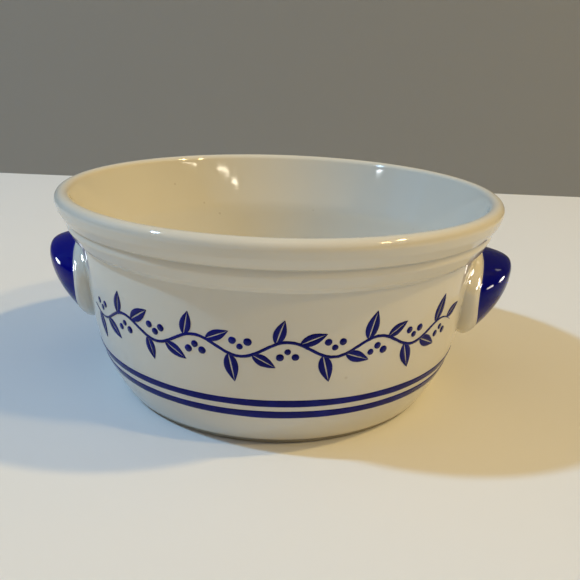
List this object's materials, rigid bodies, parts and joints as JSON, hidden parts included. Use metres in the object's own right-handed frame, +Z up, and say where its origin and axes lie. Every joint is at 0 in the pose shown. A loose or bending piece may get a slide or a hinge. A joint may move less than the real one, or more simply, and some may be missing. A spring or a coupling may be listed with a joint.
{
  "type": "lug soup bowl",
  "caption": "Round glazed stoneware soup bowl with a stepped rim band, a solid domed ear lug on each side in cobalt glaze, cobalt stripes round the belly and a turned foot ring.",
  "frame": {"origin": "centre of the foot ring, on the surface that the bowl stands on", "axes": "+Z up, out of the mouth; the ear lugs lie on the X axis, lug_right on +X; -Y faces the picture's viewer"},
  "size_m": [0.164, 0.15, 0.069],
  "materials": {
    "white_glaze": "glossy cream-white glaze over stoneware, with fine pinholes and a bare foot ring",
    "cobalt_slip": "cobalt slip banded on the wheel under a clear gloss glaze",
    "cobalt_glaze": "deep gloss cobalt glaze, thin and lighter at its edge"
  },
  "bodies": {
    "root": {"bowl_body": "white_glaze", "band_upper": "cobalt_slip", "band_lower": "cobalt_slip", "lug_left": "white_glaze", "lug_right": "white_glaze", "lug_coat_left": "cobalt_glaze", "lug_coat_right": "cobalt_glaze"}
  },
  "joints": []
}
